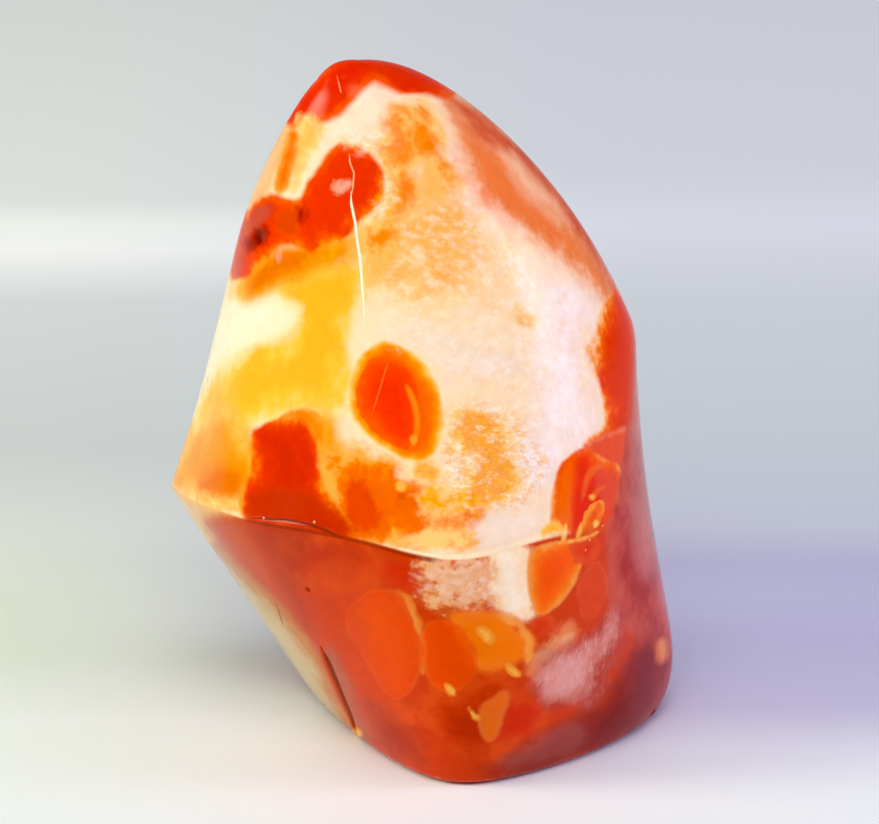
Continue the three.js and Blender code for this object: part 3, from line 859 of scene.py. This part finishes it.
        "front": [[(246, 496), (280, 488), (320, 494), (346, 514), (356, 534), (330, 540), (290, 530),
                   (248, 524)]],
    },
    "blockTop": {
        "stops": [(-1, "F08016"), (0.6, "F6A436")],
        "edge": (-0.8, 1.2), "wander": (0.6, 0.4), "mottle": (0.6, 0.4), "cover": 0.85,
        "front": [[(284, 414), (298, 407), (314, 408), (324, 420), (326, 446), (319, 450), (312, 428),
                   (300, 418)]],
    },
    "sideBlob": {
        "stops": [(-1, "F29430"), (1, "F8C68A")],
        "edge": (-0.8, 1.4), "wander": (0.8, 0.4), "mottle": (0.6, 0.4),
        "front": [[(584, 344), (596, 334), (604, 326), (606, 360), (608, 384), (598, 378), (588, 362)]],
    },
    "edgeEye": {
        "stops": [(-4, "D63408"), (-2, "E03A06"), (-0.6, "EA520C"), (0.4, "F48424"), (1.2, "F8B070")],
        "edge": (0, 1.3), "wander": (0.5, 0.1), "mottle": (1.6, 0.6),
        "front": [[(610, 302), (622, 284), (650, 320), (650, 400), (634, 428), (622, 440), (606, 444),
                   (592, 450), (586, 447), (596, 438), (606, 430), (608, 412), (604, 390), (599, 370),
                   (597, 345), (602, 320)]],
    },
    "edgeNeck": {
        "stops": [(-1, "E2502A"), (0, "E8704C")],
        "edge": (-0.4, 0.8), "wander": (0.4, 0.3), "mottle": (0.6, 0.4),
        "front": [[(583, 449), (600, 437), (618, 430), (634, 428), (634, 460), (622, 474), (606, 466),
                   (594, 458)]],
    },
    "leafEye": {
        "stops": [(-5, "DE2A0A"), (-3, "E6380C"), (-1.8, "EE4C0C"), (-0.8, "EE5C14"), (0, "F07A28"),
                  (0.8, "F49A4C")],
        "edge": (0, 0.9), "wander": (0.3, 0.06), "mottle": (1.4, 0.3),
        "front": [[(552, 548), (551, 520), (553, 498), (557, 478), (563, 464), (572, 456), (583, 449),
                   (594, 455), (606, 462), (618, 466), (624, 480), (620, 500), (614, 518), (606, 534),
                   (592, 548), (570, 552)]],
        "behind": [oval(540, 470, 28, 28, 20)],
    },
    "leafBand": {
        "stops": [(-1, "F26A14"), (0.5, "EA4A0C")],
        "edge": (-0.6, 1), "wander": (0.5, 0.1), "mottle": (0.5, 0.2), "cover": 0.8,
        "front": [[(562, 470), (572, 457), (576, 480), (571, 510), (573, 546), (560, 546), (556, 510),
                   (557, 484)]],
    },
    "leafHaze": {
        "stops": [(-1, "DE5638"), (0.5, "DA4424")],
        "edge": (-0.8, 1), "wander": (0.6, 0.4), "mottle": (0.8, 0.6), "cover": 0.6,
        "front": [[(596, 460), (608, 466), (618, 480), (615, 502), (606, 514), (598, 498), (592, 478)]],
    },
    "leafRings": {
        "stops": [(-0.4, "F27A2A"), (0.3, "E85C1C")],
        "edge": (-0.2, 0.5), "wander": (0.25, 0.1), "mottle": (0.2, 0.1), "cover": 0.5,
        "front": [[(584, 478), (592, 466), (602, 462), (612, 466), (602, 467), (594, 472), (588, 482),
                   (585, 496), (580, 506), (582, 492)],
                  [(590, 496), (598, 488), (608, 484), (600, 490), (594, 498)]],
    },
    "leaf": {
        "stops": [(-1.2, "E85A0E"), (-0.4, "EE7018"), (0, "F48C30")],
        "edge": (0, 0.3), "wander": (0.3, 0.2), "mottle": (0.5, 0.3),
        "front": [[(580, 536), (582, 520), (588, 509), (597, 501), (604, 502), (604, 514), (597, 526),
                   (588, 535)]],
    },
    "yellowFoot": {
        "stops": [(-1, "F6A81C"), (0.8, "F8C054")],
        "edge": (-0.4, 0.9), "wander": (0.4, 0.3), "mottle": (0.5, 0.3),
        "front": [[(540, 544), (544, 528), (554, 520), (562, 530), (560, 541)]],
    },
}
crossMarkings = {
    "ridgeGlint": {
        "stops": [(-0.4, "F8B050"), (0.3, "EE7C28")],
        "edge": (-0.2, 0.5), "wander": (0.25, 0.1), "mottle": (0.2, 0.1), "cover": 0.9,
        "front": [[(556, 542), (576, 539), (590, 535), (598, 530), (601, 532), (592, 537), (578, 541.5),
                   (558, 545)]],
    },
    "glints": {
        "stops": [(-0.3, "FCC860"), (0.2, "F49A34")],
        "edge": (-0.2, 0.4), "wander": (0.2, 0.1), "mottle": (0.2, 0.1), "cover": 0.8,
        "front": [[(561, 541), (564, 526), (567, 522), (567, 532), (565, 541)], oval(592, 497, 3, 2.5),
                  [(576, 538), (579, 526), (582, 520), (582, 530), (579, 538)], oval(596, 524, 2.5, 4, 20)],
    },
    "flecks": {
        "stops": [(-0.5, "F9B84E"), (0, "F59A34")],
        "edge": (-0.3, 0.5), "wander": (0.3, 0.15), "mottle": (0.3, 0.3), "cover": 0.9,
        "front": [[(474, 627), (486, 628), (495, 638), (492, 645), (484, 642)],
                  [(442, 682), (450, 684), (459, 694), (450, 697)],
                  [(505, 662), (512, 667), (521, 674), (516, 677), (508, 671)], oval(413, 440, 4, 5),
                  [(468, 705), (474, 714), (481, 716), (477, 721), (470, 714)], oval(401, 486, 6, 6),
                  oval(357, 733, 3, 5, -30)],
    },
}
markings = {**lowerMarkings, **upperMarkings, **crossMarkings}
# zones of granular, cloudy and fibrous quartz, and the stretches of the ridge that get a painted highlight or
# a painted shade line
zones = {
    "sugar": {
        "front": [[(440, 404), (480, 392), (512, 410), (540, 440), (548, 476), (530, 505), (480, 510),
                   (446, 490)], oval(386, 200, 10, 18, 20), oval(380, 140, 14, 14)],
        "behind": [oval(480, 560, 80, 40), oval(400, 260, 40, 40)],
    },
    "frost": {
        "front": [[(404, 226), (424, 196), (452, 188), (486, 216), (524, 246), (562, 278), (590, 312),
                   (588, 346), (592, 390), (590, 428), (562, 448), (534, 440), (500, 404), (462, 396),
                   (438, 366), (416, 350), (384, 336), (376, 296), (384, 258)],
                  [(330, 130), (350, 106), (374, 88), (386, 100), (380, 122), (384, 148), (366, 152),
                   (340, 138)],
                  [(418, 560), (450, 552), (490, 552), (516, 556), (512, 594), (490, 606), (450, 602),
                   (420, 588)]],
    },
    "fibres": {
        "front": [[(532, 684), (560, 650), (600, 628), (618, 612), (622, 640), (604, 690), (580, 702),
                   (550, 700)]],
        "behind": [oval(380, 600, 60, 50)],
    },
    # where the ridge gets its painted highlight
    "ridgeHighlight": {
        "front": [[(400, 532), (470, 538), (540, 530), (566, 528), (566, 552), (540, 560), (470, 566),
                   (400, 562)]],
        "behind": [oval(420, 560, 90, 30)],
    },
    "shadowed": {
        "front": [[(244, 508), (310, 510), (360, 527), (400, 542), (440, 548), (440, 562), (400, 560),
                   (350, 548), (300, 536), (244, 528)]],
        "behind": [oval(560, 550, 60, 30)],
    },
}
farAway = 10        # mm, the furthest that a marking is measured from its outline
wrapDepth = 2       # mm that a marking reaches past the deepest point of its outline, round the stone


def roundCorners(outline):
    # cuts the corners off at a quarter of each side, twice
    outline = np.array(outline, dtype=float)
    for turn in range(2):
        ahead = np.roll(outline, -1, axis=0)
        cornered = [outline * 0.75 + ahead * 0.25, outline * 0.25 + ahead * 0.75]
        outline = np.stack(cornered, axis=1).reshape(-1, 2)
    return outline


def outsideOutline(spots, outline):
    # how far each spot of a picture lies outside a closed outline, negative inside it
    nearest = np.full(len(spots), 1e6)
    inside = np.zeros(len(spots), dtype=bool)
    for start, end in zip(outline, np.roll(outline, -1, axis=0)):
        run = end - start
        share = np.clip((spots - start) @ run / max(run @ run, 1e-9), 0, 1)
        nearest = np.minimum(nearest, np.linalg.norm(spots - start - share[:, None] * run, axis=1))
        if run[1] != 0:
            crossing = start[0] + (spots[:, 1] - start[1]) * run[0] / run[1]
            inside ^= ((start[1] > spots[:, 1]) != (end[1] > spots[:, 1])) & (spots[:, 0] < crossing)
    return np.where(inside, -nearest, nearest)


def outsideMarking(points, marking):
    # how far each point of the stone is outside a marking (mm)
    found = np.full(len(points), float(farAway))
    perMm = cameraSetup["pixelsPerMm"]
    for azimuth, outlines in ((0, marking.get("front", [])), (180, marking.get("behind", []))):
        right, up, forward, eye = lookFrom(azimuth)
        gaps = points + heart - eye
        depth = gaps @ forward
        zoom = perMm * cameraSetup["distance"] / depth
        pixels = np.stack([photoWide / 2 + gaps @ right * zoom, photoHigh / 2 - gaps @ up * zoom], axis=1)
        for outline in outlines:
            outline = roundCorners(outline)
            deepest = ((findOnStone(outline[::4], azimuth) + heart - eye) @ forward).max() + wrapDepth
            margin = farAway * perMm
            near = (pixels > outline.min(axis=0) - margin).all(axis=1)
            near &= (pixels < outline.max(axis=0) + margin).all(axis=1) & (depth < deepest + farAway)
            away = outsideOutline(pixels[near], outline) / perMm
            away += np.maximum(depth[near] - deepest, 0)
            found[near] = np.minimum(found[near], away)
    return found


def keepField(mesh, name, values):
    field = mesh.attributes.new(name, "FLOAT", "POINT")
    field.data.foreach_set("value", values.astype(np.float32))


upperProud, lowerProud = proudOfShells(stonePoints)
aboveRidge = upperProud - lowerProud        # mm, negative below the ridge
footTop = 12        # mm below the heart, where the foot begins, which is all below the ridge
aboveRidge -= np.maximum(-footTop - stonePoints[:, 2], 0) / 2
keepField(stone.data, "aboveRidge", aboveRidge)
for name, marking in {**markings, **zones}.items():
    keepField(stone.data, name, outsideMarking(stonePoints, marking))
for name in cuts:
    keepField(stone.data, name, cutShare(stonePoints, name))
for kind in ("darkPits", "paleChips"):
    shares = [pitShare(stonePoints, name) for name, pit in pits.items() if pit[4] == kind]
    keepField(stone.data, kind, np.max(shares, axis=0))

print("polished carnelian")


def linear(code):
    # an sRGB hex colour as linear red, green, blue and alpha
    parts = [int(code[i:i + 2], 16) / 255 for i in (0, 2, 4)]
    return (*[part / 12.92 if part <= 0.04045 else ((part + 0.055) / 1.055) ** 2.4 for part in parts], 1.0)


def addNode(tree, kind, settings):
    # a setting is a node's own property or, by the name or number of an input, its value or the socket that
    # feeds it
    node = tree.nodes.new(kind)
    for name, value in settings.items():
        if isinstance(value, bpy.types.NodeSocket):
            tree.links.new(value, node.inputs[name])
        elif isinstance(name, int) or name in node.inputs:
            node.inputs[name].default_value = value
        else:
            setattr(node, name, value)
    return node


def fillRamp(ramp, stops):
    # stops are (distance, hex colour); the ramp runs from the first to the last
    first, last = stops[0][0], stops[-1][0]
    elements = ramp.color_ramp.elements
    for distance, code in stops[1:-1]:
        elements.new((distance - first) / (last - first)).color = linear(code)
    elements[0].color = linear(stops[0][1])
    elements[len(elements) - 1].color = linear(stops[-1][1])


carnelian = {
    "quartzWhite": "F7D9B6", "ember": "CE3C10",     # above and below the ridge, where nothing else is
    "curdle": 9,                # mm, size of the clouds' curdled edges; its finer octaves go down to 0.3 mm
    "crumble": 2.2,             # mm, size of the finest clouds
    "noiseSpread": 6,           # brings the noises to about -1 to 1
    "ridgeMix": 0.15,           # mm each side of the ridge where the colours below and above it meet
    "uneven": 0.03,             # share by which the stain's depth varies
    "lineLevels": (0.3, 0.75),  # share of a cut's depth where its colour starts and is full
    "lineCover": 0.9,
    "roughness": 0.16,          # tumbled, then buffed with cerium oxide
    "ior": 1.54,                # chalcedony
    "gloss": 0.13,              # the photo shows little glare over the colours
    "subsurface": 0.35,
    "subsurfaceRadius": (1.0, 0.4, 0.2),
    "subsurfaceScale": 1.2,     # mm that red light travels inside
}
# lines along the belt ridge, a painted highlight and a painted shade: height above it and half width (mm),
# colour and strength
ridgeLooks = {"ridgeHighlight": (0.2, 0.35, "FBE2BC", 0.8), "shadowed": (-0.25, 0.45, "8A2412", 0.65)}
# how zones end: how far the coarse noise shifts the end, and how far outside the outline it starts and is
# over, for the ridge's lines and for grain (mm)
zoneEnds = {"wander": 2.0, "lines": (-0.5, 1.5), "grain": (-2.5, 2.5)}
# the grain of each zone: its size (mm; real grains are under 0.3 mm and wouldn't show) and lean, and for each
# kind its colour, the level of the noise where it starts and is full, and its strength; crinkles lie where
# the noise crosses its middle
grainLooks = {
    "sugar": {
        "size": (2.6, 1.6, 1.6), "lean": (0.0, -0.5, 0.3), "curds": ("FBAC20", 0.48, 0.64, 0.55),
        "crinkles": ("E08030", 0.03, 0.0, 0.4), "crystals": ("FFF6E8", 0.5, 0.72, 0.5),
    },
    "frost": {
        "size": (2.2, 1.4, 1.8), "lean": (0.0, -0.4, 0.3), "curds": ("FFF1E6", 0.4, 0.74, 0.42),
        "crinkles": ("F4B888", 0.02, 0.0, 0.12), "crystals": ("FAC480", 0.48, 0.76, 0.3),
    },
    "fibres": {
        "size": (0.9, 0.9, 3.2), "lean": (0.0, 0.6, 0.0), "curds": ("9A3024", 0.52, 0.7, 0.12),
        "crinkles": ("F0BEB4", 0.03, 0.0, 0.15), "crystals": ("F4CCC4", 0.52, 0.7, 0.25),
    },
}
# the dark colours of the groove, fissure, lowerScar and darkPits paint the shade inside these hollows
lineColours = {
    "groove": "7E3018", "fissure": "8A2C1A", "darkPits": "78160C", "paleChips": "F0B48C",
    "edgeNick": "A87848", "lowerScar": "A0603C", "healedCrack": "F2A880", "whiteCrack": "FFF8E0",
    "tipScratch": "F09070", "eyeLine": "F4622C",
}


def paintMarkings(tree, colour, noises, chosen):
    # paints markings over a colour, each with an edge and colours that the noises shift
    for number, (name, marking) in enumerate(chosen.items()):
        away = addNode(tree, "ShaderNodeAttribute", {"attribute_name": name}).outputs["Fac"]
        rim, band = away, away
        for grain in range(2):
            rim = addNode(tree, "ShaderNodeMath", {
                "operation": "MULTIPLY_ADD", 0: noises[grain][number % 3], 1: marking["wander"][grain],
                2: rim}).outputs[0]
            band = addNode(tree, "ShaderNodeMath", {
                "operation": "MULTIPLY_ADD", 0: noises[grain][(number + 1) % 3], 1: marking["mottle"][grain],
                2: band}).outputs[0]
        cover = addNode(tree, "ShaderNodeMapRange", {
            "interpolation_type": "SMOOTHSTEP", "From Min": marking["edge"][0],
            "From Max": marking["edge"][1], "To Min": marking.get("cover", 1.0), "To Max": 0.0, "Value": rim})
        inner, outer = marking["stops"][0][0], marking["stops"][-1][0]
        share = addNode(tree, "ShaderNodeMapRange", {"From Min": inner, "From Max": outer, "Value": band})
        ramp = addNode(tree, "ShaderNodeValToRGB", {"Fac": share.outputs[0]})
        fillRamp(ramp, marking["stops"])
        colour = addNode(tree, "ShaderNodeMix", {
            "data_type": "RGBA", 0: cover.outputs[0], 6: colour, 7: ramp.outputs["Color"]}).outputs[2]
    return colour


def makeCarnelian():
    # Carnelian is iron-stained chalcedony, ground and then polished: its clouds and eyes show as if through a
    # wet skin, light goes a little way in and comes out warmer, and lamps show as soft bright patches
    material = bpy.data.materials.new("polishedCarnelian")
    material.use_nodes = True
    tree = material.node_tree
    tree.nodes.clear()
    place = addNode(tree, "ShaderNodeTexCoord", {}).outputs["Object"]

    # three coarse and three fine noises, each mostly from -1 to 1
    noises = []
    spread = carnelian["noiseSpread"]
    for size, detail in ((carnelian["curdle"], 4), (carnelian["crumble"], 3)):
        grain = addNode(tree, "ShaderNodeTexNoise",
                        {"Scale": 1 / (size * mm), "Detail": detail, "Roughness": 0.56, "Vector": place})
        level = addNode(tree, "ShaderNodeVectorMath", {
            "operation": "MULTIPLY_ADD", 0: grain.outputs["Color"], 1: [spread] * 3, 2: [-spread / 2] * 3})
        noises.append(addNode(tree, "ShaderNodeSeparateXYZ", {0: level.outputs[0]}).outputs)

    ridge = addNode(tree, "ShaderNodeAttribute", {"attribute_name": "aboveRidge"}).outputs["Fac"]
    mix = carnelian["ridgeMix"]
    isAbove = addNode(tree, "ShaderNodeMapRange", {"From Min": -mix, "From Max": mix, "Value": ridge})
    lower = paintMarkings(tree, linear(carnelian["ember"]), noises, lowerMarkings)
    upper = paintMarkings(tree, linear(carnelian["quartzWhite"]), noises, upperMarkings)
    colour = addNode(tree, "ShaderNodeMix", {
        "data_type": "RGBA", 0: isAbove.outputs[0], 6: lower, 7: upper}).outputs[2]
    colour = paintMarkings(tree, colour, noises, crossMarkings)

    # the belt ridge: a painted highlight on it and a painted shade line under it, each in its own stretch
    for zone, (height, width, code, strength) in ridgeLooks.items():
        lifted = addNode(tree, "ShaderNodeMath", {"operation": "SUBTRACT", 0: ridge, 1: height})
        gap = addNode(tree, "ShaderNodeMath", {"operation": "ABSOLUTE", 0: lifted.outputs[0]})
        line = addNode(tree, "ShaderNodeMapRange", {
            "interpolation_type": "SMOOTHSTEP", "From Min": width / 3, "From Max": width,
            "To Min": strength, "To Max": 0.0, "Value": gap.outputs[0]})
        away = addNode(tree, "ShaderNodeAttribute", {"attribute_name": zone}).outputs["Fac"]
        away = addNode(tree, "ShaderNodeMath", {
            "operation": "MULTIPLY_ADD", 0: noises[0][0], 1: zoneEnds["wander"], 2: away})
        start, end = zoneEnds["lines"]
        kept = addNode(tree, "ShaderNodeMapRange", {
            "From Min": start, "From Max": end, "To Min": 1.0, "To Max": 0.0, "Value": away.outputs[0]})
        share = addNode(tree, "ShaderNodeMath", {
            "operation": "MULTIPLY", 0: line.outputs[0], 1: kept.outputs[0]})
        colour = addNode(tree, "ShaderNodeMix", {
            "data_type": "RGBA", 0: share.outputs[0], 6: colour, 7: linear(code)}).outputs[2]

    # fine quartz: curds, thin crinkles and crystals, where the zones say so
    for zone, look in grainLooks.items():
        away = addNode(tree, "ShaderNodeAttribute", {"attribute_name": zone}).outputs["Fac"]
        away = addNode(tree, "ShaderNodeMath", {
            "operation": "MULTIPLY_ADD", 0: noises[0][1], 1: zoneEnds["wander"], 2: away})
        start, end = zoneEnds["grain"]
        inZone = addNode(tree, "ShaderNodeMapRange", {
            "interpolation_type": "SMOOTHSTEP", "From Min": start, "From Max": end, "To Min": 1.0,
            "To Max": 0.0, "Value": away.outputs[0]})
        turned = addNode(tree, "ShaderNodeMapping", {
            "Vector": place, "Rotation": look["lean"], "Scale": [1 / (size * mm) for size in look["size"]]})
        grain = addNode(tree, "ShaderNodeTexNoise", {
            "Scale": 1.0, "Detail": 3.0, "Roughness": 0.6, "Vector": turned.outputs[0]})
        channels = addNode(tree, "ShaderNodeSeparateXYZ", {0: grain.outputs["Color"]}).outputs
        off = addNode(tree, "ShaderNodeMath", {"operation": "SUBTRACT", 0: channels[1], 1: 0.5})
        fromCrest = addNode(tree, "ShaderNodeMath", {"operation": "ABSOLUTE", 0: off.outputs[0]})
        sources = {"curds": channels[0], "crinkles": fromCrest.outputs[0], "crystals": channels[2]}
        for kind, source in sources.items():
            code, start, full, strength = look[kind]
            chosen = addNode(tree, "ShaderNodeMapRange", {
                "interpolation_type": "SMOOTHSTEP", "From Min": start, "From Max": full, "To Max": strength,
                "Value": source})
            share = addNode(tree, "ShaderNodeMath", {
                "operation": "MULTIPLY", 0: chosen.outputs[0], 1: inZone.outputs[0]})
            colour = addNode(tree, "ShaderNodeMix", {
                "data_type": "RGBA", 0: share.outputs[0], 6: colour, 7: linear(code)}).outputs[2]

    # faint unevenness of the stain everywhere
    shade = addNode(tree, "ShaderNodeMath", {
        "operation": "MULTIPLY_ADD", 0: noises[1][2], 1: carnelian["uneven"], 2: 1.0})
    colour = addNode(tree, "ShaderNodeVectorMath", {
        "operation": "SCALE", 0: colour, "Scale": shade.outputs[0]}).outputs[0]

    # colours in cuts, cracks, pits and chips; the dark ones in the groove, fissure, scar and pits are painted
    # shade inside these hollows
    start, full = carnelian["lineLevels"]
    for name, code in lineColours.items():
        share = addNode(tree, "ShaderNodeAttribute", {"attribute_name": name}).outputs["Fac"]
        cover = addNode(tree, "ShaderNodeMapRange", {
            "From Min": start, "From Max": full, "To Max": carnelian["lineCover"], "Value": share})
        colour = addNode(tree, "ShaderNodeMix", {
            "data_type": "RGBA", 0: cover.outputs[0], 6: colour, 7: linear(code)}).outputs[2]

    skin = addNode(tree, "ShaderNodeBsdfPrincipled", {
        "Base Color": colour, "Roughness": carnelian["roughness"], "IOR": carnelian["ior"], "Metallic": 0.0,
        "Specular IOR Level": carnelian["gloss"], "Subsurface Weight": carnelian["subsurface"],
        "Subsurface Radius": carnelian["subsurfaceRadius"],
        "Subsurface Scale": carnelian["subsurfaceScale"] * mm})
    addNode(tree, "ShaderNodeOutputMaterial", {"Surface": skin.outputs["BSDF"]})
    return material


stone.data.materials.append(makeCarnelian())
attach(stone, "root")
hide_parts("flame_stone")

print("floor and light")
stageSetup = {
    # the paper's tone by distance behind the stone's middle (mm) at the left and at the right, with painted
    # light and shade in it: the light falling off and coming back, a painted bright band, and the stone's
    # painted cast shadows, greenish at the left and lilac at the right
    "tones": {
        "left": [(-90, "E6EEE8"), (-43, "EAF2EF"), (4, "F6FCFA"), (36, "E7EFDF"), (71, "DEE4D1"),
                 (115, "DAE0D7"), (171, "CED3D1"), (295, "DCE0E0"), (343, "FFFFFE"), (369, "F9FDF7"),
                 (395, "E7ECE9"), (640, "E7EBE9")],
        "right": [(-90, "DFE4EA"), (-31, "EBF0F6"), (-10, "E8ECF8"), (10, "D0CEEB"), (53, "C5C3E4"),
                  (93, "B3B2D3"), (120, "C1C4D7"), (171, "C5CBD6"), (295, "D2D6DF"), (369, "E2E5F1"),
                  (430, "DBDEE8"), (640, "DFE2EC")],
    },
    "change": (-130, 70),       # mm across, where the left tone turns to the right one
    "across": 6000,             # mm
    "roughness": 0.55,
}
# each lamp is a soft box that looks at the stone: its heading round from the front and its height (degrees),
# its side (mm), its power (W) and its colour
lamps = {
    "leftBox": {"heading": -78, "height": 24, "side": 1550, "power": 44, "colour": "F6FFE4"},
    "rightBox": {"heading": 80, "height": 22, "side": 1550, "power": 37, "colour": "E4DCFF"},
    "topBox": {"heading": -4, "height": 56, "side": 2400, "power": 37, "colour": "FFFCF8"},
}
lampDistance = 2400     # mm
# a lamp's cloth glows this much in its middle and fades out to its edge; places are shares of its side
cloth = {"glow": 3.0, "core": 0.05, "edge": 0.5}
room = {"colour": "EEF0F2", "strength": 0.35}
blackLevel = 0.016      # deep tones, as the photo has them


def makeStage():
    # Matt card, uncoated and pressed flat: painted light and shade in its colour, and only a blur of what
    # stands on it
    half = stageSetup["across"] / 2 * mm
    corners = [(-half, -half, 0), (half, -half, 0), (half, half, 0), (-half, half, 0)]
    mesh = bpy.data.meshes.new("floor")
    mesh.from_pydata(corners, [], [(0, 1, 2, 3)])
    floor = bpy.data.objects.new("floor", mesh)
    bpy.context.scene.collection.objects.link(floor)
    material = bpy.data.materials.new("mattCard")
    material.use_nodes = True
    skin = material.node_tree.nodes["Principled BSDF"]
    place = addNode(material.node_tree, "ShaderNodeTexCoord", {}).outputs["Object"]
    parts = addNode(material.node_tree, "ShaderNodeSeparateXYZ", {0: place})
    sides = []
    for tones in stageSetup["tones"].values():
        share = addNode(material.node_tree, "ShaderNodeMapRange", {
            "From Min": tones[0][0] * mm, "From Max": tones[-1][0] * mm, "Value": parts.outputs["Y"]})
        ramp = addNode(material.node_tree, "ShaderNodeValToRGB", {"Fac": share.outputs[0]})
        fillRamp(ramp, tones)
        sides.append(ramp.outputs["Color"])
    near, far = stageSetup["change"]
    share = addNode(material.node_tree, "ShaderNodeMapRange", {
        "interpolation_type": "SMOOTHSTEP", "From Min": near * mm, "From Max": far * mm,
        "Value": parts.outputs["X"]})
    paper = addNode(material.node_tree, "ShaderNodeMix", {
        "data_type": "RGBA", 0: share.outputs[0], 6: sides[0], 7: sides[1]})
    material.node_tree.links.new(paper.outputs[2], skin.inputs["Base Color"])
    skin.inputs["Roughness"].default_value = stageSetup["roughness"]
    mesh.materials.append(material)


def makeLamps():
    middle = np.array(cameraSetup["target"])
    for name, lamp in lamps.items():
        data = bpy.data.lights.new(name, "AREA")
        data.shape = "SQUARE"
        data.size = lamp["side"] * mm
        data.energy = lamp["power"]
        data.color = linear(lamp["colour"])[:3]
        data.use_nodes = True
        tree = data.node_tree
        glow = tree.nodes["Emission"]
        place = addNode(tree, "ShaderNodeNewGeometry", {}).outputs["Parametric"]
        across = addNode(tree, "ShaderNodeVectorMath", {"operation": "SUBTRACT", 0: place, 1: (0.5, 0.5, 0)})
        away = addNode(tree, "ShaderNodeVectorMath", {"operation": "LENGTH", 0: across.outputs[0]})
        strength = addNode(tree, "ShaderNodeMapRange", {
            "interpolation_type": "SMOOTHSTEP", "From Min": cloth["edge"], "From Max": cloth["core"],
            "To Max": cloth["glow"], "Value": away.outputs["Value"]})
        tree.links.new(strength.outputs[0], glow.inputs["Strength"])
        heading, height = math.radians(lamp["heading"]), math.radians(lamp["height"])
        out = np.array([math.sin(heading) * math.cos(height), -math.cos(heading) * math.cos(height),
                        math.sin(height)])
        light = bpy.data.objects.new(name, data)
        light.location = Vector((middle + out * lampDistance) * mm)
        light.rotation_euler = Vector(out).to_track_quat("Z", "Y").to_euler()
        bpy.context.scene.collection.objects.link(light)
    world = bpy.data.worlds.new("softRoom")
    world.use_nodes = True
    sky = world.node_tree.nodes["Background"]
    sky.inputs["Color"].default_value = linear(room["colour"])
    sky.inputs["Strength"].default_value = room["strength"]
    bpy.context.scene.world = world


makeStage()
makeLamps()
scene = bpy.context.scene
scene.view_settings.view_transform = "Standard"
scene.view_settings.use_curve_mapping = True
scene.view_settings.curve_mapping.black_level = [blackLevel] * 3
scene.cycles.use_denoising = True
